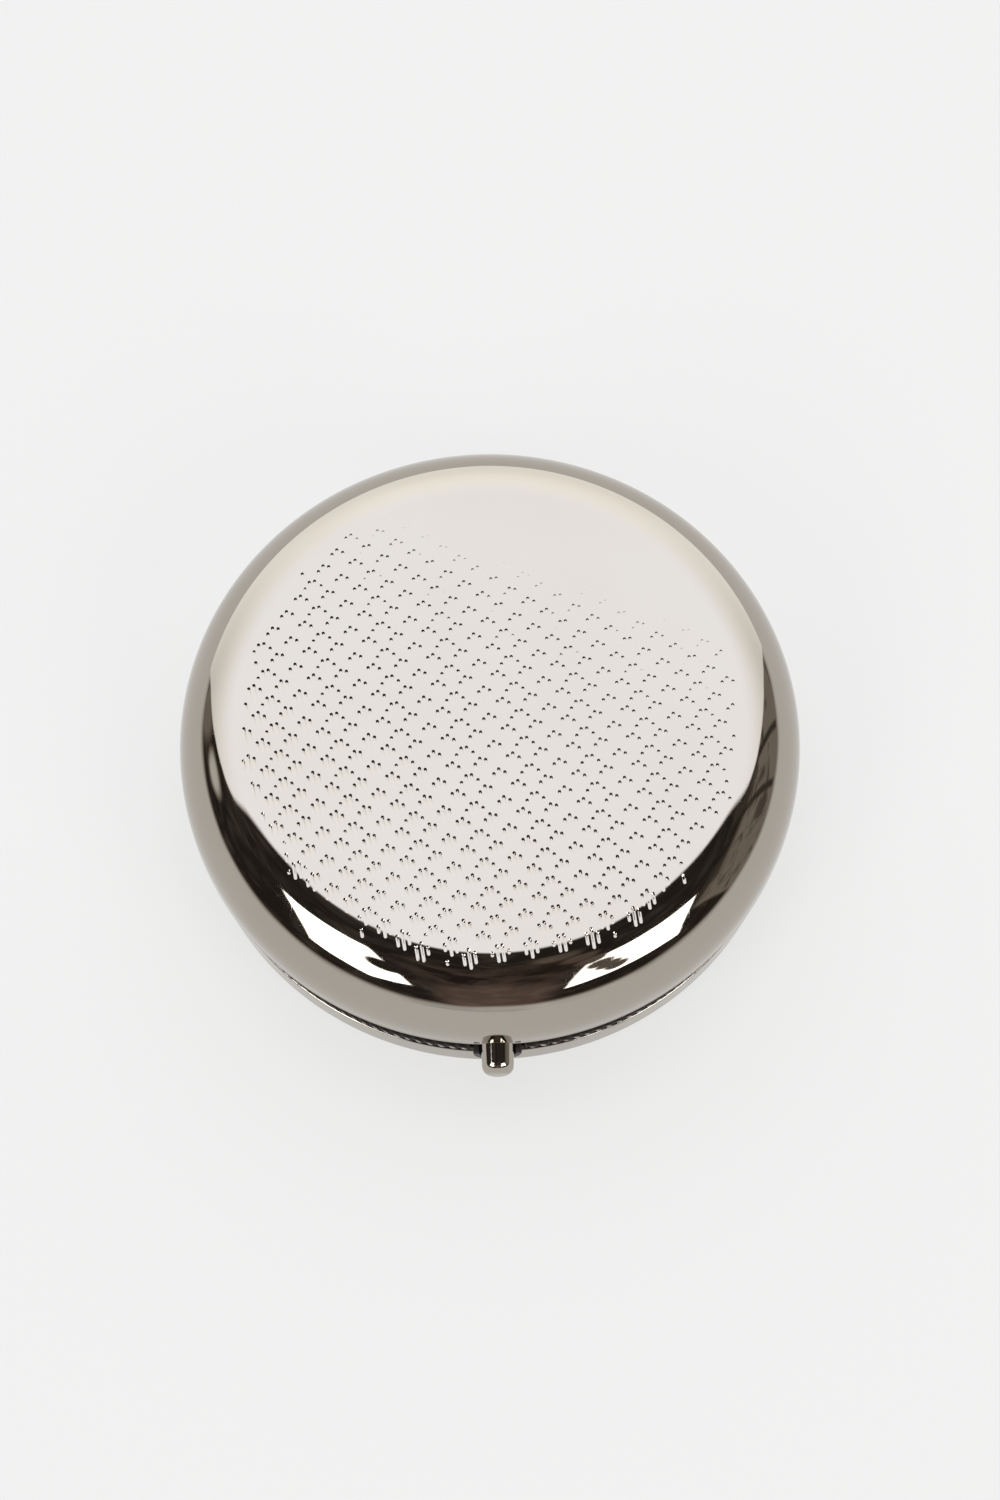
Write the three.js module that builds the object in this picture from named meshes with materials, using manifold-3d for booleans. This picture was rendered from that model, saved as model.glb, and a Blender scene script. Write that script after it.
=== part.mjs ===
// Round push-button pill box in plated sheet metal, closed.
// Millimetres, +Z up. The origin is on the box's axis, at the centre of its flat underside.
// The button is at the front (-Y) and the hinge at the back (+Y).

import * as THREE from 'three';
import { mergeVertices } from 'three/addons/utils/BufferGeometryUtils.js';
import Module from 'manifold-3d';

const wasm = await Module();
wasm.setup();

// ---------- driving dimensions ----------

const FACETS = 64;              // flats round every large turned piece
const PIN_FACETS = 20;          // flats round the small turned pieces
const BUTTON_FACETS = 24;
const SHEET = 0.45;             // thickness of the drawn sheet
const STRIP = 0.4;              // thickness of the stamped strip pieces
const FIT = 0.1;                // gap between pieces that are nested in each other
const CLEAR = 0.3;              // gap round a cut made for another piece

// Heights
const PARTING_Z = 8.0;          // lower edge of the lid
const SKIRT_TOP_Z = 9.0;        // top of the lid's upright skirt
const HEM_TOP_Z = 9.6;          // top of the inward hem of the lid
const BASE_TOP_Z = 3.35;        // upper edge of the base cup
const BAND_Z0 = 3.5;            // lower and upper edge of the milled band
const BAND_Z1 = 5.1;
const NECK_FOOT_Z = 1.3;        // lower edge of the neck ring, inside the base cup
const NECK_TOP_Z = 9.25;
const TRAY_TOP_Z = 8.9;         // top of the tray's walls

// Radii
const LID_R = 25.0;
const SHOULDER_R = 6.5;         // radius of the rounded shoulder of the lid
const CROWN_EDGE_ANGLE = THREE.MathUtils.degToRad(3.1);   // slope where the crown meets the shoulder
const BASE_R = 24.3;
const BASE_CORNER_R = 1.2;
const NECK_R = 23.75;
const BAND_R = 24.4;
const TRAY_R = 23.1;

// Button, along Y at the front
const BUTTON_Z = 7.1;
const BUTTON_R = 1.3;
const BUTTON_TIP_Y = -27.15;
const BUTTON_SHOULDER_Y = -23.2;
const BUTTON_END_Y = -22.2;

// Latch, behind the button
const LEAF_Y = -21.9;           // middle plane of the leaf spring
const LEAF_T = 0.3;
const LEAF_HALF_W = 2.5;
const LATCH_RIVET_Z = 1.7;
const LATCH_RIVET_X = 1.3;
const LATCH_RIVET_HEAD_R = 0.85;
const LATCH_RIVET_SHANK_R = 0.4;

// Hinge, along X at the back
const HINGE_Y = 25.55;
const HINGE_Z = 7.4;
const PIN_R = 0.3;
const KNUCKLE_R = 0.7;
const HINGE_HALF_W = 3.2;
const CENTRE_KNUCKLE_HALF_W = 1.05;
const KNUCKLE_GAP = 0.2;
const BASE_LEAF_FOOT_Z = 1.3;   // lower edge of the base's hinge leaf
const BASE_RIVET_Z = 2.3;
const BASE_RIVET_X = 1.9;
const BASE_RIVET_HEAD_R = 0.8;
const BASE_RIVET_SHANK_R = 0.4;

// Tray
const TRAY_WALL = 1.0;
const TRAY_FLOOR_Z = 0.6;
const TRAY_FLOOR_T = 0.9;
const POCKET_HALF_W = 5.2;      // space for the latch at the front of the tray
const POCKET_Y = -19.9;

// ---------- finishes ----------

function finish(colour, roughness, metalness) {
  return new THREE.MeshStandardMaterial({ color: colour, roughness, metalness });
}

const PLATED = finish(0xd6d2cc, 0.1, 1.0);
const MILLED = finish(0xb9b4ad, 0.25, 1.0);
const STEEL = finish(0xa9a7a3, 0.35, 1.0);
const SPRING_STEEL = finish(0x8d8f92, 0.3, 1.0);
const DARK_PLASTIC = finish(0x1b1a19, 0.45, 0.0);
const TRAY_PLASTIC = finish(0xf1efea, 0.35, 0.0);
const MIRROR = finish(0xe6eaec, 0.03, 1.0);
const FOAM = finish(0x3c3c3a, 0.9, 0.0);

// ---------- solid helpers ----------

// A closed three.js geometry as a solid. Its faces are turned outwards if they point in.
function solid(geometry) {
  const bare = geometry.clone();
  bare.deleteAttribute('normal');
  bare.deleteAttribute('uv');
  const merged = mergeVertices(bare, 1e-5);
  const position = merged.attributes.position;
  const index = Array.from(merged.index.array);
  const corners = [0, 1, 2].map(() => new THREE.Vector3());
  const kept = [];
  let volume = 0;
  for (let i = 0; i < index.length; i += 3) {
    const [a, b, c] = index.slice(i, i + 3);
    if (a === b || b === c || c === a) continue;
    kept.push(a, b, c);
    [a, b, c].forEach((corner, k) => corners[k].fromBufferAttribute(position, corner));
    volume += corners[0].dot(corners[1].cross(corners[2]));
  }
  if (volume < 0) kept.reverse();
  return new wasm.Manifold(new wasm.Mesh({
    numProp: 3,
    vertProperties: new Float32Array(position.array),
    triVerts: new Uint32Array(kept),
  }));
}

function piece(name, body, material) {
  const { vertProperties, triVerts } = body.getMesh();
  const geometry = new THREE.BufferGeometry();
  geometry.setAttribute('position', new THREE.BufferAttribute(vertProperties, 3));
  geometry.setIndex(new THREE.BufferAttribute(triVerts, 1));
  geometry.computeVertexNormals();
  const mesh = new THREE.Mesh(geometry, material);
  mesh.name = name;
  return mesh;
}

// A profile of [radius, height] points turned about the Z axis.
function turned(profile, facets = FACETS) {
  const points = profile.map(([r, z]) => new THREE.Vector2(r, z));
  return new THREE.LatheGeometry(points, facets).rotateX(Math.PI / 2);
}

function closedRing(profile, facets = FACETS) {
  return solid(turned([...profile, profile[0]], facets));
}

// Points of an arc in the radius-height plane. Angles run from straight up towards the outside.
function arc(centreR, centreZ, radius, from, to, steps) {
  return Array.from({ length: steps + 1 }, (_, i) => {
    const angle = from + (to - from) * i / steps;
    return [centreR + radius * Math.sin(angle), centreZ + radius * Math.cos(angle)];
  });
}

function block(x0, x1, y0, y1, z0, z1) {
  const box = new THREE.BoxGeometry(x1 - x0, y1 - y0, z1 - z0);
  return solid(box.translate((x0 + x1) / 2, (y0 + y1) / 2, (z0 + z1) / 2));
}

// A round bar along Y whose axis is at x, z.
function barY(radius, y0, y1, x, z, facets = PIN_FACETS) {
  const bar = new THREE.CylinderGeometry(radius, radius, y1 - y0, facets);
  return solid(bar.translate(x, (y0 + y1) / 2, z));
}

// The hole for a rivet along Y through a wall near y.
function rivetHole(x, z, shankR, y) {
  return barY(shankR + CLEAR, y - 2, y + 2, x, z, 16);
}

// A cut through the back of the rings, from one height to another.
function backCut(halfWidth, z0, z1) {
  return block(-halfWidth, halfWidth, NECK_R - 3, NECK_R + 2, z0, z1);
}

// A profile of [radius, y] points turned about a line along Y at x, z.
function turnedY(profile, x, z, facets = PIN_FACETS) {
  const points = profile.map(([r, y]) => new THREE.Vector2(r, y));
  return solid(new THREE.LatheGeometry(points, facets).translate(x, 0, z));
}

// A round bar along X on the hinge's axis.
function hingeBar(radius, x0, x1, facets = PIN_FACETS) {
  const bar = new THREE.CylinderGeometry(radius, radius, x1 - x0, facets);
  return solid(bar.rotateZ(Math.PI / 2).translate((x0 + x1) / 2, HINGE_Y, HINGE_Z));
}

// An outline of [y, z] points, pushed along X.
function slab(outline, x0, x1) {
  const shape = new THREE.Shape(outline.map(([y, z]) => new THREE.Vector2(y, z)));
  const geometry = new THREE.ExtrudeGeometry(shape, { depth: x1 - x0, bevelEnabled: false });
  // The shape's own x, y and depth become Y, Z and X.
  const axes = new THREE.Matrix4().set(
    0, 0, 1, x0,
    1, 0, 0, 0,
    0, 1, 0, 0,
    0, 0, 0, 1,
  );
  return solid(geometry.applyMatrix4(axes));
}

// ---------- lid ----------

const SHOULDER_CENTRE_R = LID_R - SHOULDER_R;
const CROWN_R = SHOULDER_CENTRE_R + SHOULDER_R * Math.sin(CROWN_EDGE_ANGLE);
const CROWN_SPHERE_R = CROWN_R / Math.sin(CROWN_EDGE_ANGLE);
const CROWN_EDGE_Z = SKIRT_TOP_Z + SHOULDER_R * Math.cos(CROWN_EDGE_ANGLE);

// Height of the crown's outer face at a radius.
function crownZ(radius) {
  const drop = Math.sqrt(CROWN_SPHERE_R ** 2 - radius ** 2) - CROWN_SPHERE_R * Math.cos(CROWN_EDGE_ANGLE);
  return CROWN_EDGE_Z + drop;
}

function buttonHole(radius) {
  return barY(radius, BUTTON_TIP_Y, BUTTON_END_Y, 0, BUTTON_Z);
}

const LID_SLOT_HALF_W = CENTRE_KNUCKLE_HALF_W + CLEAR;
const LID_ARM_Z = HINGE_Z + KNUCKLE_R - STRIP;   // underside of the arm of the lid's hinge leaf
const LID_PLATE_HALF_W = 2.6;
const LID_PLATE_Y = 23.3;

function lidShell() {
  const hemR = LID_R - 2 * SHEET;
  const innerSkirtR = LID_R - SHEET;
  const outerRound = 0.25;        // chamfers that stand for the rolled lower edge
  const innerRound = 0.15;
  const profile = [
    [0, crownZ(0)],
    [CROWN_R * 0.5, crownZ(CROWN_R * 0.5)],
    ...arc(SHOULDER_CENTRE_R, SKIRT_TOP_Z, SHOULDER_R, CROWN_EDGE_ANGLE, Math.PI / 2, 8),
    [LID_R, PARTING_Z + outerRound],
    [LID_R - outerRound, PARTING_Z],
    [hemR + innerRound, PARTING_Z],
    [hemR, PARTING_Z + innerRound],
    [hemR, HEM_TOP_Z],
    [innerSkirtR, HEM_TOP_Z + 0.1],
    ...arc(SHOULDER_CENTRE_R, SKIRT_TOP_Z, SHOULDER_R - SHEET, Math.PI * 0.44, CROWN_EDGE_ANGLE, 5),
    [0, crownZ(0) - SHEET],
  ];
  const shell = solid(turned(profile));
  const hingeSlot = backCut(LID_SLOT_HALF_W, PARTING_Z - 1, LID_ARM_Z + STRIP + CLEAR);
  return shell.subtract(buttonHole(BUTTON_R + CLEAR)).subtract(hingeSlot);
}

const MIRROR_R = 19.4;
const MIRROR_Z = 13.15;
const MIRROR_T = 1.15;
const PAD_R = 17.8;
const PAD_T = 0.6;

function disc(radius, z, thickness) {
  return solid(turned([[0, z], [radius, z], [radius, z + thickness], [0, z + thickness]]));
}

function lidInnerRing() {
  const lipR = 18.6;
  const flangeR = 22.3;
  const z = MIRROR_Z - FIT - STRIP;
  const topZ = z + 0.75;
  const bend = 0.3;
  return closedRing([
    [lipR, z],
    [flangeR - bend, z],
    [flangeR, z + bend],
    [flangeR, topZ],
    [flangeR - STRIP, topZ],
    [flangeR - STRIP, z + STRIP],
    [lipR, z + STRIP],
  ]);
}

function lidHingeLeaf() {
  const y0 = LID_PLATE_Y;
  const y1 = LID_PLATE_Y + STRIP;
  const plateStartZ = NECK_TOP_Z + CLEAR;
  const plateTopZ = 11.6;
  const arm = slab([
    [HINGE_Y, LID_ARM_Z],
    [HINGE_Y, LID_ARM_Z + STRIP],
    [y1, LID_ARM_Z + STRIP],
    [y1, plateStartZ + STRIP],
    [y0, plateStartZ + STRIP],
    [y0, LID_ARM_Z],
  ], -CENTRE_KNUCKLE_HALF_W, CENTRE_KNUCKLE_HALF_W);
  const plate = block(-LID_PLATE_HALF_W, LID_PLATE_HALF_W, y0, y1, plateStartZ, plateTopZ);
  const knuckle = hingeBar(KNUCKLE_R, -CENTRE_KNUCKLE_HALF_W, CENTRE_KNUCKLE_HALF_W);
  const bore = hingeBar(PIN_R + FIT, -CENTRE_KNUCKLE_HALF_W - 1, CENTRE_KNUCKLE_HALF_W + 1);
  return arm.add(plate).add(knuckle).subtract(bore);
}

const CATCH_Z = HEM_TOP_Z;
const CATCH_T = 0.35;
const CATCH_LIP_Y = -22.5;

function lidCatch() {
  const backY = -23.85;
  const topZ = CATCH_Z + 2;
  return slab([
    [backY, CATCH_Z],
    [CATCH_LIP_Y, CATCH_Z],
    [CATCH_LIP_Y, CATCH_Z + CATCH_T],
    [backY + CATCH_T, CATCH_Z + CATCH_T],
    [backY + CATCH_T, topZ],
    [backY, topZ],
  ], -LEAF_HALF_W, LEAF_HALF_W);
}

// ---------- base ----------

const GUIDE_R = 1.9;

function baseShell() {
  const innerR = BASE_R - SHEET;
  const cornerR = BASE_R - BASE_CORNER_R;
  const profile = [
    [0, 0],
    ...arc(cornerR, BASE_CORNER_R, BASE_CORNER_R, Math.PI, Math.PI / 2, 5),
    [BASE_R, BASE_TOP_Z - 0.1],
    [BASE_R - 0.1, BASE_TOP_Z],
    [innerR, BASE_TOP_Z],
    ...arc(cornerR, BASE_CORNER_R, BASE_CORNER_R - SHEET, Math.PI / 2, Math.PI, 4),
    [0, SHEET],
  ];
  let shell = solid(turned(profile));
  for (const x of [-BASE_RIVET_X, BASE_RIVET_X]) {
    shell = shell.subtract(rivetHole(x, BASE_RIVET_Z, BASE_RIVET_SHANK_R, BASE_R));
  }
  return shell;
}

function baseNeckRing() {
  const innerR = NECK_R - STRIP;
  const lead = 0.15;              // chamfer that leads the lid over the ring
  const ring = closedRing([
    [innerR, NECK_FOOT_Z],
    [NECK_R, NECK_FOOT_Z],
    [NECK_R, NECK_TOP_Z - lead],
    [NECK_R - lead, NECK_TOP_Z],
    [innerR, NECK_TOP_Z],
  ]);
  const notchHalfW = BASE_RIVET_X + BASE_RIVET_HEAD_R + 2 * CLEAR;
  const rivetNotch = backCut(notchHalfW, 0, BASE_RIVET_Z + BASE_RIVET_HEAD_R + CLEAR);
  const leafNotch = backCut(LID_PLATE_HALF_W + CLEAR, LID_ARM_Z - 2 * CLEAR, HEM_TOP_Z);
  return ring.subtract(buttonHole(BUTTON_R + CLEAR)).subtract(rivetNotch).subtract(leafNotch);
}

function baseRimBand() {
  const innerR = NECK_R + FIT;
  const bevelR = BAND_R - 0.35;
  const bevelZ = 0.35;
  const ring = closedRing([
    [innerR, BAND_Z0],
    [bevelR, BAND_Z0],
    [BAND_R, BAND_Z0 + bevelZ],
    [BAND_R, BAND_Z1 - bevelZ],
    [bevelR, BAND_Z1],
    [innerR, BAND_Z1],
  ]);
  const recessHalfW = HINGE_HALF_W + CLEAR;
  const hingeRecess = block(-recessHalfW, recessHalfW, BASE_R - FIT, BAND_R + 1, BAND_Z0 - 1, BAND_Z1 + 1);
  return ring.subtract(hingeRecess);
}

function baseHingeLeaf() {
  const plateY = BASE_R + FIT;
  const bendZ = HINGE_Z - 1.1;    // where the plate bends out to the knuckles
  const outline = [
    [plateY, BASE_LEAF_FOOT_Z],
    [plateY + STRIP, BASE_LEAF_FOOT_Z],
    [plateY + STRIP, bendZ],
    [HINGE_Y + KNUCKLE_R * 0.6, HINGE_Z - KNUCKLE_R * 0.78],
    [HINGE_Y, HINGE_Z],
    [HINGE_Y - KNUCKLE_R * 0.8, HINGE_Z - KNUCKLE_R * 0.55],
    [plateY, bendZ + STRIP / 2],
  ];
  let leaf = slab(outline, -HINGE_HALF_W, HINGE_HALF_W);
  leaf = leaf.add(hingeBar(KNUCKLE_R, -HINGE_HALF_W, HINGE_HALF_W));
  const centreGap = CENTRE_KNUCKLE_HALF_W + KNUCKLE_GAP;
  leaf = leaf.subtract(block(-centreGap, centreGap, plateY - 1, HINGE_Y + 2, bendZ, HINGE_Z + 2));
  leaf = leaf.subtract(hingeBar(PIN_R + FIT, -HINGE_HALF_W - 1, HINGE_HALF_W + 1));
  for (const x of [-BASE_RIVET_X, BASE_RIVET_X]) {
    leaf = leaf.subtract(rivetHole(x, BASE_RIVET_Z, BASE_RIVET_SHANK_R, plateY));
  }
  return leaf;
}

// A rivet along Y with a low domed head at its outer end and a flat head at its inner end.
function rivet(x, z, outerY, innerY, headR, shankR, direction) {
  const headT = 0.35;
  return turnedY([
    [0, outerY + direction * headT],
    [headR * 0.6, outerY + direction * headT * 0.85],
    [headR, outerY + direction * headT * 0.25],
    [headR, outerY],
    [shankR, outerY],
    [shankR, innerY],
    [headR * 0.85, innerY],
    [headR * 0.85, innerY - direction * headT],
    [0, innerY - direction * headT],
  ], x, z, 16);
}

function baseHingeRivet(x) {
  const outerY = BASE_R + FIT + STRIP + FIT;
  const innerY = BASE_R - SHEET - FIT;
  return rivet(x, BASE_RIVET_Z, outerY, innerY, BASE_RIVET_HEAD_R, BASE_RIVET_SHANK_R, 1);
}

function hingePin() {
  const headX = HINGE_HALF_W + FIT;
  const headT = 0.3;
  const headR = PIN_R + 0.2;
  return hingeBar(PIN_R, -headX - headT / 2, headX + headT / 2)
    .add(hingeBar(headR, headX, headX + headT))
    .add(hingeBar(headR, -headX - headT, -headX));
}

// ---------- button and latch ----------

function buttonGuide() {
  const y0 = -25.4;
  const y1 = -(NECK_R + FIT);
  const round = barY(GUIDE_R, y0, y1, 0, BUTTON_Z, BUTTON_FACETS);
  const bore = barY(BUTTON_R + FIT * 1.5, y0 - 1, y1 + 1, 0, BUTTON_Z, BUTTON_FACETS);
  const above = block(-GUIDE_R - 1, GUIDE_R + 1, y0 - 1, y1 + 1, BUTTON_Z, BUTTON_Z + GUIDE_R + 1);
  return round.subtract(bore).subtract(above);
}

const CLIP_Y0 = BUTTON_SHOULDER_Y + FIT;
const CLIP_Y1 = CLIP_Y0 + 0.3;
const CLIP_R = 1.85;
const GROOVE_R = 0.75;
const FLANGE_R = 1.1;
const TAIL_R = 0.6;
const TAIL_CHAMFER = 0.1;

function pushButton() {
  const noseR = 0.75;
  const flangeY = CLIP_Y1 + FIT;
  const flangeT = 0.15;
  const nose = Array.from({ length: 5 }, (_, i) => {
    const angle = Math.PI / 2 * i / 4;
    return [BUTTON_R - noseR + noseR * Math.sin(angle), BUTTON_TIP_Y + noseR - noseR * Math.cos(angle)];
  });
  return turnedY([
    [0, BUTTON_TIP_Y],
    ...nose,
    [BUTTON_R, BUTTON_SHOULDER_Y],
    [GROOVE_R, BUTTON_SHOULDER_Y],
    [GROOVE_R, flangeY],
    [FLANGE_R, flangeY],
    [FLANGE_R, flangeY + flangeT],
    [TAIL_R, flangeY + flangeT],
    [TAIL_R, BUTTON_END_Y - TAIL_CHAMFER],
    [TAIL_R - TAIL_CHAMFER, BUTTON_END_Y],
    [0, BUTTON_END_Y],
  ], 0, BUTTON_Z, BUTTON_FACETS);
}

function buttonClip() {
  const outer = barY(CLIP_R, CLIP_Y0, CLIP_Y1, 0, BUTTON_Z, BUTTON_FACETS);
  const inner = barY(GROOVE_R + FIT, CLIP_Y0 - 1, CLIP_Y1 + 1, 0, BUTTON_Z, BUTTON_FACETS);
  const mouthHalfW = GROOVE_R - 0.05;
  const mouth = block(-mouthHalfW, mouthHalfW, CLIP_Y0 - 1, CLIP_Y1 + 1, BUTTON_Z - CLIP_R - 1, BUTTON_Z);
  return outer.subtract(inner).subtract(mouth);
}

function latchSpring() {
  const outerY = LEAF_Y - LEAF_T / 2;
  const innerY = LEAF_Y + LEAF_T / 2;
  const footZ = 0.9;
  const noseZ = CATCH_Z + CATCH_T + 1.5 * FIT;    // the nose's underside, just above the lid's catch
  const noseY = CATCH_LIP_Y - 0.4;
  let leaf = slab([
    [innerY, footZ],
    [innerY, noseZ + LEAF_T],
    [innerY - 0.55, noseZ + LEAF_T],
    [innerY + 0.05, noseZ + 0.75],
    [innerY - 0.15, noseZ + 1.0],
    [noseY, noseZ + 0.25],
    [noseY, noseZ],
    [outerY, noseZ],
    [outerY, footZ],
  ], -LEAF_HALF_W, LEAF_HALF_W);
  for (const x of [-LATCH_RIVET_X, LATCH_RIVET_X]) {
    leaf = leaf.subtract(rivetHole(x, LATCH_RIVET_Z, LATCH_RIVET_SHANK_R, LEAF_Y));
  }
  const windowHalfW = 1.2;        // the window that makes the leaf springy
  const window = block(-windowHalfW, windowHalfW, LEAF_Y - 1, LEAF_Y + 1, 3.3, 5.4);
  return leaf.subtract(window);
}

const BRACKET_Y = LEAF_Y + 0.5;

function latchBracket() {
  const footZ = SHEET + FIT;
  const footEndY = BRACKET_Y + 1.2;
  const topZ = 3.0;
  let bracket = slab([
    [BRACKET_Y, footZ],
    [footEndY, footZ],
    [footEndY, footZ + STRIP],
    [BRACKET_Y + STRIP, footZ + STRIP],
    [BRACKET_Y + STRIP, topZ],
    [BRACKET_Y, topZ],
  ], -LEAF_HALF_W, LEAF_HALF_W);
  for (const x of [-LATCH_RIVET_X, LATCH_RIVET_X]) {
    bracket = bracket.subtract(rivetHole(x, LATCH_RIVET_Z, LATCH_RIVET_SHANK_R, BRACKET_Y));
  }
  return bracket;
}

function latchRivet(x) {
  const outerY = LEAF_Y - LEAF_T / 2 - 1.5 * FIT;
  const innerY = BRACKET_Y + STRIP + FIT;
  return rivet(x, LATCH_RIVET_Z, outerY, innerY, LATCH_RIVET_HEAD_R, LATCH_RIVET_SHANK_R, -1);
}

// ---------- tray ----------

// One compartment: a 120 degree sector about `middle`, set back from its two dividers and the outer wall.
function compartment(middle) {
  const innerR = TRAY_R - TRAY_WALL;
  const half = Math.PI / 3;
  const setBack = TRAY_WALL / 2;
  const apex = setBack / Math.sin(half);
  const edge = half - Math.asin(setBack / innerR);
  const shape = new THREE.Shape();
  shape.moveTo(apex * Math.cos(middle), apex * Math.sin(middle));
  const steps = 20;
  for (let i = 0; i <= steps; i += 1) {
    const angle = middle - edge + 2 * edge * i / steps;
    shape.lineTo(innerR * Math.cos(angle), innerR * Math.sin(angle));
  }
  const depth = TRAY_TOP_Z - TRAY_FLOOR_Z - TRAY_FLOOR_T + 1;
  const geometry = new THREE.ExtrudeGeometry(shape, { depth, bevelEnabled: false });
  return solid(geometry.translate(0, 0, TRAY_FLOOR_Z + TRAY_FLOOR_T));
}

function pillTray() {
  const cornerR = 1.2;
  const body = solid(turned([
    [0, TRAY_FLOOR_Z],
    [TRAY_R - cornerR, TRAY_FLOOR_Z],
    [TRAY_R - cornerR * 0.3, TRAY_FLOOR_Z + cornerR * 0.3],
    [TRAY_R, TRAY_FLOOR_Z + cornerR],
    [TRAY_R, TRAY_TOP_Z],
    [0, TRAY_TOP_Z],
  ]));
  const wallX = POCKET_HALF_W + TRAY_WALL;
  const frontY = -TRAY_R - 1;
  const topZ = TRAY_TOP_Z + 1;
  const pocketWall = block(-wallX, wallX, frontY, POCKET_Y + TRAY_WALL, 0, topZ);
  const pocket = block(-POCKET_HALF_W, POCKET_HALF_W, frontY, POCKET_Y, 0, topZ);
  let tray = body;
  for (const middle of [90, 210, 330].map(THREE.MathUtils.degToRad)) {
    tray = tray.subtract(compartment(middle).subtract(pocketWall));
  }
  return tray.subtract(pocket);
}

// ---------- assembly ----------

const baseGroup = new THREE.Group();
baseGroup.add(
  piece('base_shell', baseShell(), PLATED),
  piece('base_neck_ring', baseNeckRing(), PLATED),
  piece('base_rim_band', baseRimBand(), MILLED),
  piece('base_hinge_leaf', baseHingeLeaf(), STEEL),
  piece('base_hinge_rivet_left', baseHingeRivet(-BASE_RIVET_X), STEEL),
  piece('base_hinge_rivet_right', baseHingeRivet(BASE_RIVET_X), STEEL),
  piece('hinge_pin', hingePin(), STEEL),
  piece('button_guide', buttonGuide(), DARK_PLASTIC),
  piece('latch_bracket', latchBracket(), STEEL),
  piece('latch_rivet_left', latchRivet(-LATCH_RIVET_X), STEEL),
  piece('latch_rivet_right', latchRivet(LATCH_RIVET_X), STEEL),
  piece('pill_tray', pillTray(), TRAY_PLASTIC),
);

const buttonGroup = new THREE.Group();
buttonGroup.add(
  piece('push_button', pushButton(), PLATED),
  piece('button_clip', buttonClip(), SPRING_STEEL),
);

const lidGroup = new THREE.Group();
lidGroup.add(
  piece('lid_shell', lidShell(), PLATED),
  piece('lid_inner_ring', lidInnerRing(), PLATED),
  piece('mirror_pad', disc(PAD_R, MIRROR_Z + MIRROR_T + 0.05, PAD_T), FOAM),
  piece('mirror_glass', disc(MIRROR_R, MIRROR_Z, MIRROR_T), MIRROR),
  piece('lid_hinge_leaf', lidHingeLeaf(), STEEL),
  piece('lid_catch', lidCatch(), STEEL),
);

const pillBox = new THREE.Group();
pillBox.add(baseGroup, buttonGroup, piece('latch_spring', latchSpring(), SPRING_STEEL), lidGroup);

export default pillBox;
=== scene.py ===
import math

import bmesh
import bpy
from mathutils import Matrix, Vector
from mathutils.geometry import delaunay_2d_cdt


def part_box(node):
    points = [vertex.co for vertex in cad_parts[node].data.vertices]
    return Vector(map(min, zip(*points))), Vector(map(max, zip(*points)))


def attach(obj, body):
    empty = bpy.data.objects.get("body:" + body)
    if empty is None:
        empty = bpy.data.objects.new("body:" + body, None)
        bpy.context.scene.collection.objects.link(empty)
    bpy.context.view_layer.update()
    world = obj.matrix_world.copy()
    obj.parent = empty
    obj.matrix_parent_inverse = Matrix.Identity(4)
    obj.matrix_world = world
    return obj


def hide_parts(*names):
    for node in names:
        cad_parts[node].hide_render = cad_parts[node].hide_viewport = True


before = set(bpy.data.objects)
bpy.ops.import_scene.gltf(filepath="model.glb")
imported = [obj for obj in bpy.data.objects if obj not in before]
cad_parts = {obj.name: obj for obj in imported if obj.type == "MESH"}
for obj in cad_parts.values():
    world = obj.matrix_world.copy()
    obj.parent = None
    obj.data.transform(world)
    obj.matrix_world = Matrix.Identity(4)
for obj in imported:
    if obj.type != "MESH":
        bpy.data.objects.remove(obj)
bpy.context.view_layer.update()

MM = 0.001

# ---------- driving sizes, in millimetres, read from the frame where it holds them ----------


def node_box(node):
    """Lowest and highest corner of a CAD node, in millimetres."""
    low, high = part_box(node)
    return [c / MM for c in low], [c / MM for c in high]


LID_LOW, LID_HIGH = node_box("lid_shell")
_, BASE_HIGH = node_box("base_shell")
BAND_LOW, BAND_HIGH = node_box("base_rim_band")
_, NECK_HIGH = node_box("base_neck_ring")
BUTTON_LOW, BUTTON_HIGH = node_box("push_button")
_, GUIDE_HIGH = node_box("button_guide")
RING_LOW, RING_HIGH = node_box("lid_inner_ring")
GLASS_LOW, GLASS_HIGH = node_box("mirror_glass")
PAD_LOW, PAD_HIGH = node_box("mirror_pad")

SHEET = 0.45                        # thickness of the drawn sheet
STRIP = 0.4                         # thickness of the ring strips

LID_R = LID_HIGH[0]
PARTING_Z = LID_LOW[2]
SHOULDER_R = 6.5
SKIRT_TOP_Z = PARTING_Z + 1.0
HEM_TOP_Z = PARTING_Z + 1.6
HEM_R = LID_R - 2 * SHEET
ROLL_TOP_Z = PARTING_Z + 0.42       # the fine line pressed above the lid's rolled edge
ROLL_LINE = 0.09
ROLL_DEPTH = 0.04
EDGE_R = 0.22                       # rounding of the lid's edges
SHOULDER_CENTRE_R = LID_R - SHOULDER_R
CROWN_SLOPE = math.radians(3.1)     # slope where the crown runs into the shoulder
CROWN_R = SHOULDER_CENTRE_R + SHOULDER_R * math.sin(CROWN_SLOPE)
CROWN_SPHERE_R = CROWN_R / math.sin(CROWN_SLOPE)

BASE_R = BASE_HIGH[0]
BASE_TOP_Z = BASE_HIGH[2]
BASE_CORNER_R = 1.2

BUTTON_Z = (BUTTON_LOW[2] + BUTTON_HIGH[2]) / 2
BUTTON_R = BUTTON_HIGH[0]
GUIDE_R = GUIDE_HIGH[0]
CUT_GAP = 0.3                       # gap round a cut made for another piece
HINGE_ARM_HALF_W = 1.05 + CUT_GAP   # the slot in the lid's skirt for the arm of the hinge
HINGE_ARM_TOP_Z = 8.15 + CUT_GAP

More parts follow.
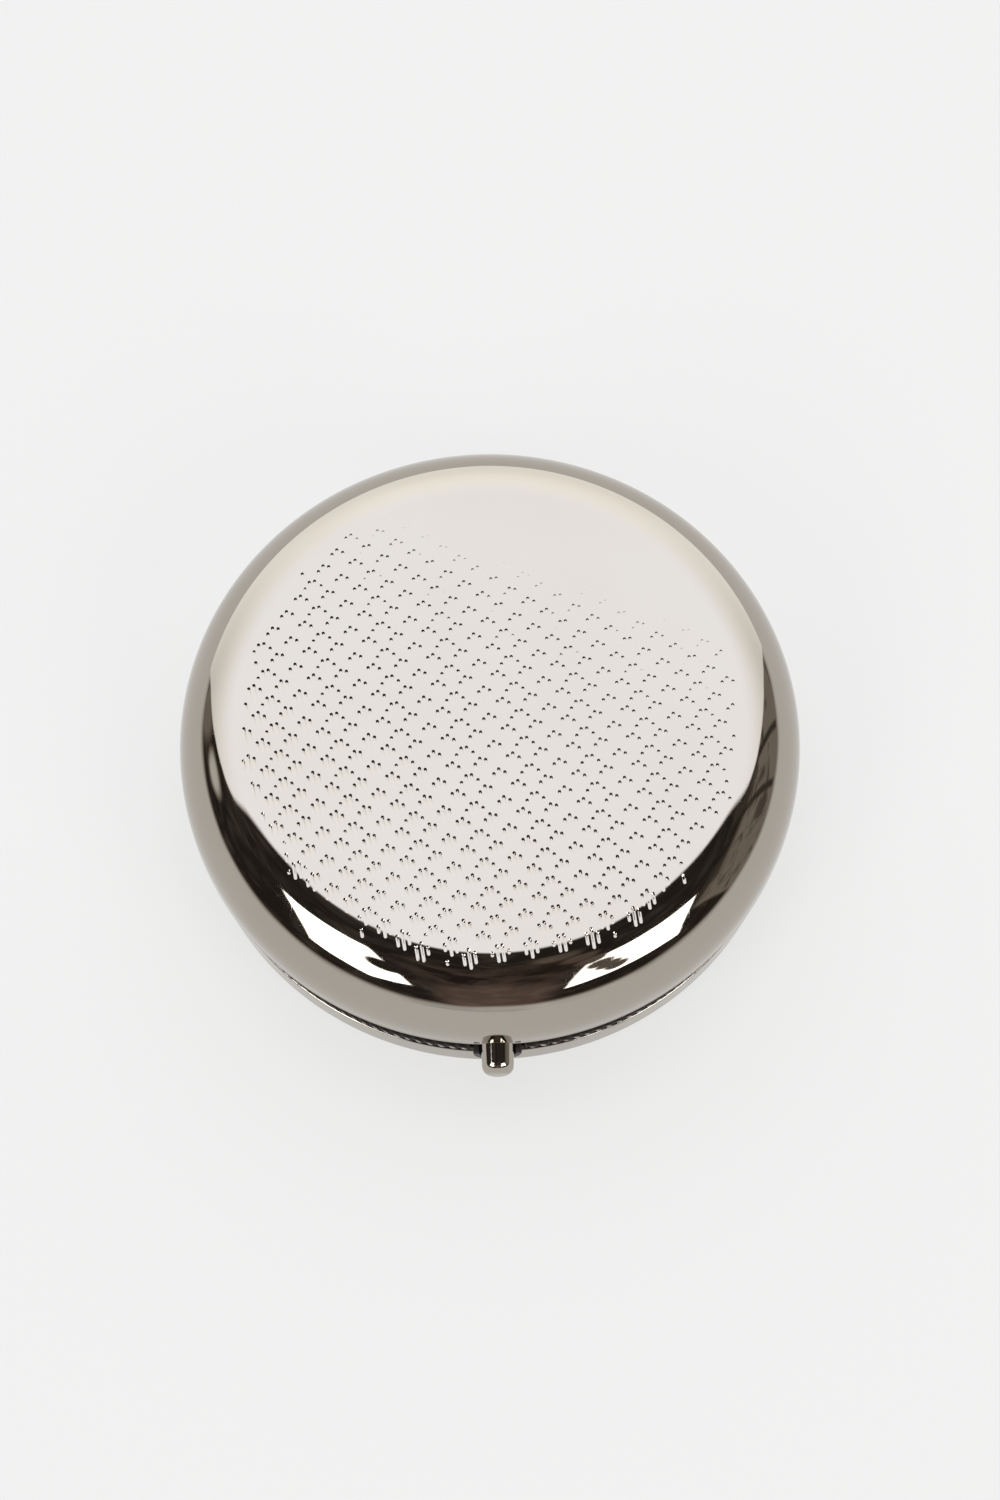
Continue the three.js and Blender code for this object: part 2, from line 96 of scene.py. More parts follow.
# Pressed pattern of the crown
PATTERN_R = 19.9                    # radius that the pattern fills
PATTERN_FORWARD = 1.0               # the pressing sits this far forward of the lid's middle
CROWN_DISC_R = 21.3                 # the crown's mesh reaches this far, onto the shoulder
PATTERN_TURN = math.radians(8.5)    # turn of the strokes away from the button's direction
CLUSTER_ACROSS = 1.195              # half the spacing of the clusters across the strokes
CLUSTER_ALONG = 1.16                # half the spacing of the clusters along the strokes
CLUSTER_HALF_W = 0.8
CLUSTER_ROUNDNESS = 1.53            # 1 is a sharp diamond, 2 a fuller one
STROKE_PITCH = 0.435
STROKE_W = 0.26
LONGEST_STROKE = 1.66
SHORTEST_STROKE = 0.34
STROKE_DEPTH = 0.1
STROKE_SIDE = 0.018                 # least width of the steep walls along a stroke
SIDE_SPREAD = 0.095                 # and how much wider they are where the tool pressed hardest
SPREAD_FROM = 1.02                  # the pressure above which they widen
SPREAD_OVER = 0.38                  # and how much more pressure it takes to widen them fully
STROKE_REAR = 0.17                  # length of the slope down at a stroke's rear end
STROKE_FRONT = 0.5                  # and of the gentle slope up at its front end
END_SHEEN = math.radians(23)        # steepest slope that the burnished end walls shine with
SIDE_SHEEN = math.radians(36)       # and the side walls

# The tool pressed hardest at the front left. Its pressure is 1 near the middle.
PRESS_RIGHT = 0.5                   # how fast the pressure falls off to the right
PRESS_BACK = 0.87                   # and to the back
PRESS_END = 0.95                    # how far that way it reaches, as a share of the pattern's radius
PRESS_SPAN = 1.05                   # and the span over which it rises to 1
PRESS_LIMIT = 1.3                   # the pressure above which a stroke gets no deeper
LEAST_DEPTH = 0.22                  # share of the depth that a stroke has without pressure


# ---------- meshes ----------


def add_object(name, data):
    made = bpy.data.objects.new(name, data)
    bpy.context.scene.collection.objects.link(made)
    return made


class Surface:
    """A mesh with its own normal at every corner of every face. Sizes are in millimetres."""

    def __init__(self):
        self.points = []
        self.faces = []
        self.normals = []

    def point(self, x, y, z):
        self.points.append((x * MM, y * MM, z * MM))
        return len(self.points) - 1

    def face(self, corners, normals):
        """Adds a face, turned so that it faces the way its normals point."""
        kept = [i for i, c in enumerate(corners) if c not in corners[:i]]
        if len(kept) < 3:
            return
        corners = [corners[i] for i in kept]
        normals = [normals[i] for i in kept]
        a, b, c = (Vector(self.points[k]) for k in corners[:3])
        if (b - a).cross(c - a).dot(sum(normals, Vector())) < 0:
            corners.reverse()
            normals.reverse()
        self.faces.append(corners)
        self.normals.extend(normals)

    def build(self, name, turn=Matrix.Identity(4)):
        mesh = bpy.data.meshes.new(name)
        mesh.from_pydata(self.points, [], self.faces)
        mesh.shade_smooth()
        mesh.normals_split_custom_set(self.normals)
        mesh.transform(turn)
        return add_object(name, mesh)


def round_normal(slope, turn):
    """The unit vector that leans `slope` from straight up, in the direction `turn`."""
    return Vector((math.sin(slope) * math.cos(turn), math.sin(slope) * math.sin(turn), math.cos(slope)))


def arc(centre_r, centre_z, radius, start, end, steps, inside=False):
    """Points (radius, height, slope of the normal) on an arc. Degrees count from straight up outwards."""
    points = []
    for i in range(steps + 1):
        angle = math.radians(start + (end - start) * i / steps)
        lean = angle + math.pi if inside else angle
        points.append((centre_r + radius * math.sin(angle), centre_z + radius * math.cos(angle), lean))
    return points


def flat(r0, z0, r1, z1, slope):
    """The two ends of a straight run."""
    return [(r0, z0, math.radians(slope)), (r1, z1, math.radians(slope))]


def even_turns(count):
    return [2 * math.pi * i / count for i in range(count)]


def revolve(surface, runs, turns, lift=None, closed=False, first_ring=None):
    """Turns runs of (radius, height, slope) about Z. Each is smooth, and starts where the last one ended."""
    rings = []
    places = []

    def ring_at(radius, height):
        if radius < 1e-6:
            top = surface.point(0, 0, height)
            return [top] * len(turns)
        made = []
        for turn in turns:
            z = lift(turn, radius, height) if lift else height
            made.append(surface.point(radius * math.cos(turn), radius * math.sin(turn), z))
        return made

    for run_number, run in enumerate(runs):
        for i, (radius, height, slope) in enumerate(run):
            here = (round(radius, 5), round(height, 5))
            if not rings and first_ring:
                ring = first_ring
            elif places and places[-1] == here:
                ring = rings[-1]
            elif closed and places and places[0] == here and run_number == len(runs) - 1:
                ring = rings[0]
            else:
                ring = ring_at(radius, height)
            if i > 0:
                last_ring, last_slope = rings[-1], run[i - 1][2]
                for k in range(len(turns)):
                    n = (k + 1) % len(turns)
                    surface.face(
                        [last_ring[k], last_ring[n], ring[n], ring[k]],
                        [
                            round_normal(last_slope, turns[k]),
                            round_normal(last_slope, turns[n]),
                            round_normal(slope, turns[n]),
                            round_normal(slope, turns[k]),
                        ],
                    )
            rings.append(ring)
            places.append(here)
    return surface


def polished(node, piece, body, material):
    """Finishes a new piece that stands for a CAD node."""
    piece.data.materials.append(material)
    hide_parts(node)
    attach(piece, body)
    return piece


# ---------- materials ----------


class Graph:
    """Short names for the few kinds of node that the materials use."""

    def __init__(self, tree):
        self.tree = tree

    def node(self, kind, inputs=None, **settings):
        made = self.tree.nodes.new(kind)
        for key, value in settings.items():
            setattr(made, key, value)
        for key, value in (inputs or {}).items():
            self.feed(made.inputs[key], value)
        return made

    def feed(self, socket, value):
        if isinstance(value, bpy.types.NodeSocket):
            self.tree.links.new(value, socket)
        else:
            socket.default_value = value

    def maths(self, operation, *values):
        made = self.node("ShaderNodeMath", operation=operation)
        for socket, value in zip(made.inputs, values):
            self.feed(socket, value)
        return made.outputs[0]

    def add(self, *values):
        return self.maths("ADD", *values)

    def less(self, *values):
        return self.maths("SUBTRACT", *values)

    def times(self, *values):
        return self.maths("MULTIPLY", *values)

    def largest(self, first, *others):
        for other in others:
            first = self.maths("MAXIMUM", first, other)
        return first

    def length(self, a, b):
        return self.maths("SQRT", self.add(self.times(a, a), self.times(b, b)))

    def noise(self, place, scale, detail=2.0, roughness=0.5, distortion=0.0):
        made = self.node("ShaderNodeTexNoise", {"Vector": place, "Scale": scale, "Detail": detail})
        made.inputs["Roughness"].default_value = roughness
        made.inputs["Distortion"].default_value = distortion
        return made.outputs["Fac"]

    def ramp(self, value, low, high, to_low=0.0, to_high=1.0):
        """A smooth step from to_low to to_high, as the value goes from low to high."""
        made = self.node(
            "ShaderNodeMapRange",
            {"Value": value, "From Min": low, "From Max": high, "To Min": to_low, "To Max": to_high},
            interpolation_type="SMOOTHSTEP",
        )
        return made.outputs["Result"]

    def colours(self, amount, first, second):
        made = self.node("ShaderNodeMix", data_type="RGBA")
        self.feed(made.inputs[0], amount)
        for socket, colour in ((made.inputs[6], first), (made.inputs[7], second)):
            self.feed(socket, (*colour, 1.0) if isinstance(colour, tuple) else colour)
        return made.outputs[2]

    def stretched(self, place, scale, rotation=(0.0, 0.0, 0.0)):
        made = self.node("ShaderNodeMapping", {"Vector": place, "Scale": scale, "Rotation": rotation})
        return made.outputs["Vector"]

    def bump(self, height, distance, normal=None):
        made = self.node("ShaderNodeBump", {"Height": height, "Distance": distance, "Strength": 1.0})
        if normal is not None:
            self.feed(made.inputs["Normal"], normal)
        return made.outputs["Normal"]


def new_material(name, **values):
    """A material with one Principled shader: (material, graph, shader, object coordinates)."""
    material = bpy.data.materials.new(name)
    material.use_nodes = True
    graph = Graph(material.node_tree)
    shader = material.node_tree.nodes["Principled BSDF"]
    for key, value in values.items():
        socket = shader.inputs[key.replace("_", " ").title().replace("Ior", "IOR")]
        socket.default_value = (*value, 1.0) if isinstance(value, tuple) else value
    place = graph.node("ShaderNodeTexCoord").outputs["Object"]
    return material, graph, shader, place


def polished_metal(name, colour, warm, roughness, waviness, scratches):
    """Bright plate: faint colour drift, smudges, a little waviness of the sheet and hair-fine scratches."""
    material, graph, shader, place = new_material(name, metallic=1.0)
    drift = graph.noise(place, 60.0, 3.0)
    graph.feed(shader.inputs["Base Color"], graph.colours(graph.ramp(drift, 0.35, 0.7), colour, warm))
    smudge = graph.noise(place, 130.0, 6.0, 0.6, 0.6)
    specks = graph.noise(place, 2600.0, 2.0)
    rough = graph.add(
        graph.ramp(smudge, 0.45, 0.75, roughness, roughness + 0.05),
        graph.ramp(specks, 0.62, 0.8, 0.0, 0.05),
    )
    graph.feed(shader.inputs["Roughness"], rough)
    waves = graph.bump(graph.noise(place, 170.0, 1.0), waviness)
    hair = graph.noise(graph.stretched(place, (9000.0, 260.0, 260.0), (0.3, 0.2, 0.7)), 1.0, 3.0)
    cross = graph.noise(graph.stretched(place, (240.0, 8000.0, 300.0), (0.1, 0.4, -0.5)), 1.0, 3.0)
    lines = graph.largest(graph.ramp(hair, 0.64, 0.78), graph.ramp(cross, 0.66, 0.8))
    graph.feed(shader.inputs["Normal"], graph.bump(lines, -scratches, normal=waves))
    return material


FURROW = 0.1                        # the band is painted near black, as shade, from this far inside its crest
CREST = 0.03                        # to this far, where it is bright


def milled_metal():
    """The milled band: bright where the beads stand out, with painted shade, near black, in the furrows
    between them.
    """
    material, graph, shader, place = new_material("milled_plate", metallic=1.0)
    x, y, _ = graph.node("ShaderNodeSeparateXYZ", {"Vector": place}).outputs
    # This noise wobbles the edge of the painted shade and bumps the surface.
    shade_edge_and_bump_noise = graph.noise(place, 900.0, 3.0)
    reach = graph.add(graph.length(x, y), graph.times(shade_edge_and_bump_noise, -0.08 * MM))
    # Painted shade: the furrows are coloured near black for the shade between the beads; the crests keep the
    # plate's own colour.
    unshaded_crest = graph.ramp(reach, (BAND_HIGH[0] - FURROW) * MM, (BAND_HIGH[0] - CREST) * MM)
    painted_furrow_shade = (0.02, 0.016, 0.013)
    nickel = (0.44, 0.405, 0.355)
    graph.feed(shader.inputs["Base Color"], graph.colours(unshaded_crest, painted_furrow_shade, nickel))
    graph.feed(shader.inputs["Roughness"], graph.ramp(unshaded_crest, 0.0, 1.0, 0.55, 0.12))
    graph.feed(shader.inputs["Normal"], graph.bump(shade_edge_and_bump_noise, 3e-6))
    return material


def stamped_steel(name, colour, roughness):
    """Plain plated stamping: drawn along one way, duller than the polished shells."""
    material, graph, shader, place = new_material(name, metallic=1.0)
    grain = graph.noise(graph.stretched(place, (400.0, 6000.0, 6000.0)), 1.0, 4.0)
    stain = graph.noise(place, 420.0, 4.0)
    dull = tuple(c * 0.72 for c in colour)
    graph.feed(shader.inputs["Base Color"], graph.colours(graph.ramp(stain, 0.4, 0.75), colour, dull))
    graph.feed(shader.inputs["Roughness"], graph.ramp(grain, 0.2, 0.8, roughness, roughness + 0.18))
    graph.feed(shader.inputs["Normal"], graph.bump(grain, 4e-6))
    return material


def moulded_plastic(name, colour, shade, roughness, grain_size, grain_depth):
    """Injection moulding: a fine spark-eroded grain and a slight colour drift."""
    material, graph, shader, place = new_material(name, ior=1.49)
    drift = graph.noise(place, 90.0, 4.0)
    graph.feed(shader.inputs["Base Color"], graph.colours(graph.ramp(drift, 0.3, 0.75), colour, shade))
    grain = graph.noise(place, 1.0 / (grain_size * MM), 3.0)
    graph.feed(shader.inputs["Roughness"], graph.ramp(grain, 0.3, 0.7, roughness, roughness + 0.12))
    graph.feed(shader.inputs["Normal"], graph.bump(grain, grain_depth * MM))
    return material


def silvered_glass():
    """The mirror: clean silver with a little dust."""
    material, graph, shader, place = new_material("mirror_silver", metallic=1.0)
    dust = graph.noise(place, 1900.0, 4.0)
    graph.feed(shader.inputs["Roughness"], graph.ramp(dust, 0.6, 0.8, 0.012, 0.08))
    depth = graph.noise(place, 35.0, 1.0)
    graph.feed(shader.inputs["Base Color"], graph.colours(depth, (0.90, 0.93, 0.92), (0.86, 0.90, 0.89)))
    return material


def adhesive_foam():
    """Dark foam with open cells."""
    material, graph, shader, place = new_material("pad_foam", roughness=0.95)
    cells = graph.node("ShaderNodeTexVoronoi", {"Vector": place, "Scale": 3200.0}).outputs["Distance"]
    graph.feed(shader.inputs["Base Color"], graph.colours(cells, (0.03, 0.03, 0.028), (0.09, 0.088, 0.084)))
    graph.feed(shader.inputs["Normal"], graph.bump(cells, 6e-5))
    return material


PLATE = polished_metal("plated_sheet", (0.418, 0.386, 0.336), (0.410, 0.375, 0.322), 0.03, 1.0e-5, 0.4e-6)
LINED_PLATE = polished_metal("inner_plate", (0.40, 0.37, 0.325), (0.385, 0.355, 0.31), 0.12, 0.6e-5, 1.5e-6)
MILLED = milled_metal()
STEEL = stamped_steel("hinge_steel", (0.46, 0.44, 0.405), 0.22)
SPRING = stamped_steel("spring_steel", (0.43, 0.42, 0.40), 0.28)
BLACK_PLASTIC = moulded_plastic(
    "guide_plastic", (0.022, 0.02, 0.019), (0.035, 0.031, 0.028), 0.38, grain_size=0.12, grain_depth=0.01)
TRAY_PLASTIC = moulded_plastic(
    "tray_plastic", (0.60, 0.59, 0.555), (0.55, 0.535, 0.50), 0.34, grain_size=0.16, grain_depth=0.006)
MIRROR = silvered_glass()
FOAM = adhesive_foam()


# ---------- lid ----------


def lid_slope(radius):
    """Slope of the lid's outer face at a radius."""
    if radius < CROWN_R:
        return math.asin(radius / CROWN_SPHERE_R)
    return math.asin(min(1.0, (radius - SHOULDER_CENTRE_R) / SHOULDER_R))


def lid_height(radius):
    """Height of the lid's outer face at a radius."""
    edge_z = SKIRT_TOP_Z + SHOULDER_R * math.cos(CROWN_SLOPE)
    if radius < CROWN_R:
        rise = math.cos(lid_slope(radius)) - math.cos(CROWN_SLOPE)
        return edge_z + CROWN_SPHERE_R * rise
    return SKIRT_TOP_Z + SHOULDER_R * math.cos(lid_slope(radius))


def stroke_length(offset):
    """Length of a stroke that lies `offset` to the side of its cluster's middle."""
    share = abs(offset) / CLUSTER_HALF_W
    if share >= 1:
        return 0.0
    return LONGEST_STROKE * (1 - share ** CLUSTER_ROUNDNESS)


def pattern_strokes():
    """(x, y, length) of every stroke of the pressed pattern."""
    along = Vector((math.sin(PATTERN_TURN), -math.cos(PATTERN_TURN)))
    across = Vector((along.y, -along.x))
    reach = int(2 * PATTERN_R / CLUSTER_ACROSS)
    strokes = []
    for i in range(-reach, reach + 1):
        for j in range(-reach, reach + 1):
            side = (i - j) * CLUSTER_ACROSS
            run = (i + j) * CLUSTER_ALONG
            if math.hypot(side, run) > PATTERN_R + 1:
                continue
            first = math.ceil((side - CLUSTER_HALF_W) / STROKE_PITCH)
            last = math.floor((side + CLUSTER_HALF_W) / STROKE_PITCH)
            for line in range(first, last + 1):
                length = stroke_length(line * STROKE_PITCH - side)
                centre = across * (line * STROKE_PITCH) + along * run
                if length >= SHORTEST_STROKE and centre.length < PATTERN_R - length * 0.25:
                    strokes.append((centre.x, centre.y - PATTERN_FORWARD, length))
    return strokes, along, across


def stations(half_w, half_length):
    """A round-ended bar about the origin as pairs (run, half width), from its rear end to its front end."""
    straight = max(0.0, half_length - half_w)
    end = [(half_w * math.sin(a), half_w * math.cos(a)) for a in map(math.radians, (74, 42, 8))]
    rear = [(-straight - run, width) for run, width in end]
    middle = [(straight * share, half_w) for share in (-0.4, 0.3)]
    front = [(straight + run, width) for run, width in reversed(end)]
    return rear + middle + front


def pressure(x, y):
    """How hard the tool pressed at a place of the pattern."""
    reach = (PRESS_RIGHT * x + PRESS_BACK * y) / PATTERN_R
    return max(0.0, (PRESS_END - reach) / PRESS_SPAN)


def on_crown(place, depth):
    """The point `depth` below the crown at a place in plan, and the crown's normal there."""
    normal = round_normal(lid_slope(place.length), math.atan2(place.y, place.x))
    top = Vector((place.x, place.y, lid_height(place.length)))
    return top - normal * depth, normal


def stroke_outline(x, y, length, along, across):
    """Outline of a stroke in plan: down its one side and back up the other."""
    marks = stations(STROKE_W / 2, length / 2)
    loop = [(run, width) for run, width in marks] + [(run, -width) for run, width in reversed(marks)]
    return [Vector((x, y)) + along * run + across * side for run, side in loop]


def stroke_floor(x, y, length, along, across):
    """Outline of a stroke's floor, with the depth at each corner."""
    pressed = pressure(x, y)
    rear = min(STROKE_REAR, 0.36 * length) * (0.4 + 0.6 * min(1.0, pressed))
    front = min(STROKE_FRONT, 0.42 * length)
    floor_length = length - rear - front
    side = STROKE_SIDE + SIDE_SPREAD * min(1.0, max(0.0, pressed - SPREAD_FROM) / SPREAD_OVER)
    half_w = min(STROKE_W / 2 - side, floor_length / 2)
    depth = STROKE_DEPTH * (LEAST_DEPTH + (1 - LEAST_DEPTH) * min(PRESS_LIMIT, pressed))
    depth *= min(1.0, 0.45 + length / 1.6)
    marks = []
    for run, width in stations(half_w, floor_length / 2):
        marks.append((run + (rear - front) / 2, width, depth * (0.85 - 0.3 * run / floor_length)))
    loop = marks + [(run, -width, deep) for run, width, deep in reversed(marks)]
    return [(Vector((x, y)) + along * run + across * side, deep) for run, side, deep in loop]


def add_stroke(surface, rim, rim_places, floor, across):
    """
    The walls and the floor of one pressed stroke. The rim's points are in the mesh already.
    The steep walls are given the normals of gentler slopes, for the shine of a burnished pressing.
    """
    ids, rim_normals, foot_normals, floor_normals = [], [], [], []
    for (place, depth), top in zip(floor, rim_places):
        foot, normal = on_crown(place, depth)
        ids.append(surface.point(*foot))
        inwards = place - top
        lean = Vector((inwards.x, inwards.y, 0)).normalized()
        sideways = (lean.x * across.x + lean.y * across.y) ** 4
        sheen = END_SHEEN + (SIDE_SHEEN - END_SHEEN) * sideways
        reach = max(inwards.length, STROKE_REAR * (1 - sideways))
        slope = min(sheen, math.atan2(depth, reach))
        rim_normals.append((normal + lean * math.tan(slope * 0.85)).normalized())
        foot_normals.append((normal + lean * math.tan(slope)).normalized())
        floor_normals.append(normal)
    count = len(ids)
    for k in range(count):
        n = (k + 1) % count
        corners = [rim[k], rim[n], ids[n], ids[k]]
        surface.face(corners, [rim_normals[k], rim_normals[n], foot_normals[n], foot_normals[k]])
    for k in range(count // 2 - 1):
        corners = [k, k + 1, count - 2 - k, count - 1 - k]
        surface.face([ids[c] for c in corners], [floor_normals[c] for c in corners])


CROWN_RINGS = (18.4, 18.8, 19.15, 19.5, 19.8, 20.1, 20.4, 20.7, 21.0)
RING_POINTS = 200
STROKE_CLEARANCE = 0.15             # the rings' points keep this far from a stroke's ends


def touches(place, stroke, along, across):
    """Whether a place lies on a stroke or right beside it."""
    x, y, length = stroke
    gap = place - Vector((x, y))
    return abs(gap.dot(across)) <= STROKE_W and abs(gap.dot(along)) <= length / 2 + STROKE_CLEARANCE


def make_crown(surface, turns):
    """The patterned crown. Gives back the points of its outer edge."""
    strokes, along, across = pattern_strokes()
    places = [Vector((CROWN_DISC_R * math.cos(t), CROWN_DISC_R * math.sin(t))) for t in turns]
    loops = [list(range(len(places)))]
    owner = [-1] * len(places)
    for k, (x, y, length) in enumerate(strokes):
        outline = stroke_outline(x, y, length, along, across)
        loops.append(list(range(len(places), len(places) + len(outline))))
        places.extend(outline)
        owner.extend([k] * len(outline))
    # Rings of points where the crown bends into the shoulder, kept off the strokes.
    outer = [s for s in strokes if math.hypot(s[0], s[1]) > SHOULDER_CENTRE_R - 1.5]
    for radius in CROWN_RINGS:
        for turn in even_turns(RING_POINTS):
            place = Vector((radius * math.cos(turn), radius * math.sin(turn)))
            if not any(touches(place, stroke, along, across) for stroke in outer):
                places.append(place)
                owner.append(-1)
    edges = [pair for loop in loops for pair in zip(loop, loop[1:] + loop[:1])]
    flat_places, _, faces, sources, _, _ = delaunay_2d_cdt(places, edges, [], 1, 1e-6)
    normals, owners, index_of = [], [], {}
    for i, (place, source) in enumerate(zip(flat_places, sources)):
        point, normal = on_crown(place, 0)
        surface.point(*point)
        normals.append(normal)
        owners.append(owner[source[0]])
        index_of[source[0]] = i
    for corners in faces:
        held = {owners[c] for c in corners}
        if len(held) > 1 or held == {-1}:
            surface.face(list(corners), [normals[c] for c in corners])
    for loop, (x, y, length) in zip(loops[1:], strokes):
        floor = stroke_floor(x, y, length, along, across)
        add_stroke(surface, [index_of[k] for k in loop], [places[k] for k in loop], floor, across)
    return [index_of[k] for k in loops[0]]


def lid_edge_lift(turn, radius, height):
    """Raises the lid's lower edge over the button and over the hinge's arm."""
    x, y = radius * math.cos(turn), radius * math.sin(turn)
    edge = PARTING_Z
    hole_r = BUTTON_R + CUT_GAP
    if y < 0 and abs(x) < hole_r:
        edge = max(edge, BUTTON_Z + math.sqrt(hole_r ** 2 - x ** 2))
    if y > 0 and abs(x) < HINGE_ARM_HALF_W:
        edge = max(edge, HINGE_ARM_TOP_Z)
    if height >= SKIRT_TOP_Z or edge == PARTING_Z:
        return height
    return edge + (height - PARTING_Z) * (SKIRT_TOP_Z - edge) / (SKIRT_TOP_Z - PARTING_Z)


def turns_with_cuts(count, radius, cuts):
    """Even turns, with extra ones close to both sides of each cut: (direction, half width)."""
    turns = even_turns(count)
    for middle, half_w in cuts:
        half = math.asin(half_w / radius)
        near = 0.03 / radius
        extra = [middle + s * (half + e) for s in (-1, 1) for e in (-near, near)]
        extra += [middle + half * k / 12 for k in range(-11, 12)]
        turns += [t % (2 * math.pi) for t in extra]
    turns = sorted(turns)
    return [t for i, t in enumerate(turns) if i == 0 or t - turns[i - 1] > 1e-5]


def make_lid_shell():
    """The drawn lid: crown, shoulder, skirt, rolled lower edge and the hem folded up inside it."""
    cuts = [(-math.pi / 2, BUTTON_R + CUT_GAP), (math.pi / 2, HINGE_ARM_HALF_W)]
    turns = turns_with_cuts(288, LID_R, cuts)
    surface = Surface()
    rim = make_crown(surface, turns)
    disc_slope = math.degrees(lid_slope(CROWN_DISC_R))
    low_z = PARTING_Z + EDGE_R
    inner_r = SHOULDER_R - SHEET
    hem_rise = HEM_TOP_Z - SKIRT_TOP_Z
    hem_top_r = SHOULDER_CENTRE_R + math.sqrt(inner_r ** 2 - hem_rise ** 2)
    hem_slope = math.degrees(math.acos(hem_rise / inner_r))
    outside = (
        arc(SHOULDER_CENTRE_R, SKIRT_TOP_Z, SHOULDER_R, disc_slope, 90, 28)
        + [(LID_R, ROLL_TOP_Z + ROLL_LINE, math.radians(90))]
        + [(LID_R - ROLL_DEPTH, ROLL_TOP_Z + ROLL_LINE * 0.4, math.radians(95))]
        + [(LID_R - ROLL_DEPTH, ROLL_TOP_Z, math.radians(62))]
        + [(LID_R, ROLL_TOP_Z - ROLL_LINE, math.radians(80))]
        + [(LID_R, low_z, math.radians(90))]
        + arc(LID_R - EDGE_R, low_z, EDGE_R, 90, 180, 5)[1:]
        + arc(HEM_R + EDGE_R, low_z, EDGE_R, 180, 270, 5)
        + flat(HEM_R, SKIRT_TOP_Z, HEM_R, HEM_TOP_Z - EDGE_R, 270)
        + arc(HEM_R + EDGE_R, HEM_TOP_Z - EDGE_R, EDGE_R, 270, 360, 4)[1:]
        + flat(hem_top_r - 0.02, HEM_TOP_Z, hem_top_r, HEM_TOP_Z, 360)
    )
    crown_slope = math.degrees(CROWN_SLOPE)
    inside = arc(SHOULDER_CENTRE_R, SKIRT_TOP_Z, inner_r, hem_slope, crown_slope, 16, inside=True)
    for share in (0.66, 0.33, 0.0):
        radius = CROWN_R * share
        inside.append((radius, lid_height(radius) - SHEET, lid_slope(radius) + math.pi))
    revolve(surface, [outside, inside], turns, lift=lid_edge_lift, first_ring=rim)
    piece = surface.build("lid_shell_drawn")
    return polished("lid_shell", piece, "lid", PLATE)


def make_lid_inner_ring():
    """The pressed ring that keeps the mirror, with a lip under its edge."""
    low, top = RING_LOW[2], RING_HIGH[2]
    outer = RING_HIGH[0]
    lip = 18.6
    fillet = 0.3
    edge = 0.12
    under = (
        arc(lip + edge, low + edge, edge, 270, 180, 3)
        + arc(outer - fillet, low + fillet, fillet, 180, 90, 5)
        + arc(outer - edge, top - edge, edge, 90, 0, 3)
        + arc(outer - STRIP + edge, top - edge, edge, 0, -90, 3)
        + flat(outer - STRIP, low + STRIP + 0.1, outer - STRIP, low + STRIP, -90)
    )
    above = flat(outer - STRIP, low + STRIP, lip + edge, low + STRIP, 0)
    above += arc(lip + edge, low + STRIP - edge, edge, 0, -90, 3)
    above += flat(lip, low + STRIP - edge, lip, low + edge, -90)
    surface = revolve(Surface(), [under, above], even_turns(192), closed=True)
    piece = surface.build("mirror_retaining_ring")
    return polished("lid_inner_ring", piece, "lid", LINED_PLATE)


def make_disc(name, low, high, edge, material, node):
    """A flat round plate with rounded edges."""
    radius, z0, z1 = high[0], low[2], high[2]
    run = flat(0, z0, radius - edge, z0, 180)[:1]
    run += arc(radius - edge, z0 + edge, edge, 180, 90, 4)
    run += arc(radius - edge, z1 - edge, edge, 90, 0, 4)
    run += flat(0, z1, 0, z1, 0)[:1]
    piece = revolve(Surface(), [run], even_turns(160)).build(name)
    return polished(node, piece, "lid", material)


# ---------- base ----------


def make_base_shell():
    """The drawn cup, with a rounded lower corner and rounded edges."""
    inner_r = BASE_R - SHEET
    corner_r = BASE_R - BASE_CORNER_R
    start_z = BASE_CORNER_R + 0.3
    edge = 0.14
    run = flat(0, 0, corner_r - 6, 0, 180)
    run += arc(corner_r, BASE_CORNER_R, BASE_CORNER_R, 180, 90, 16)
    run += flat(BASE_R, start_z, BASE_R, BASE_TOP_Z - edge, 90)
    run += arc(BASE_R - edge, BASE_TOP_Z - edge, edge, 90, 0, 4)[1:]
    run += arc(inner_r + edge, BASE_TOP_Z - edge, edge, 0, -90, 4)
    run += flat(inner_r, start_z, inner_r, BASE_CORNER_R + 0.1, -90)
    run += arc(corner_r, BASE_CORNER_R, BASE_CORNER_R - SHEET, 90, 180, 10, inside=True)
    run += [(0, SHEET, math.radians(360))]
    piece = revolve(Surface(), [run], even_turns(256)).build("base_cup")
    return polished("base_shell", piece, "base", PLATE)


BEAD_COUNT = 168                    # slanting beads milled round the band
BEAD_DEPTH = 0.2
BAND_BULGE = 0.5                    # how far the band's middle stands out past its rims
BEAD_SLANT = 0.9                    # how many beads the slant runs past from top to bottom
BEAD_FULLNESS = 0.7                 # less than 1 makes a bead rounder
COLUMNS_PER_BEAD = 8
BAND_ROWS = 14
HINGE_RECESS = 0.15                 # behind the hinge leaf the band stays this far inside the cup's wall
HINGE_RECESS_HALF_W = 3.5
BAND_SHARP_ANGLE = math.radians(50)


def band_radius(turn, share):
    """Radius of the milled band in a direction, at a share of its height."""
    outer = BAND_HIGH[0]
    fullness = math.sin(math.pi * share)
    height_share = 0.5 - 0.5 * math.cos(math.pi * share)
    bead = abs(math.sin(turn * BEAD_COUNT / 2 + height_share * BEAD_SLANT * math.pi))
    radius = outer - BAND_BULGE * (1 - fullness) - BEAD_DEPTH * fullness * (1 - bead ** BEAD_FULLNESS)
    if abs(turn - math.pi / 2) < math.asin(HINGE_RECESS_HALF_W / outer):
        radius = min(radius, BASE_R - HINGE_RECESS)
    return radius


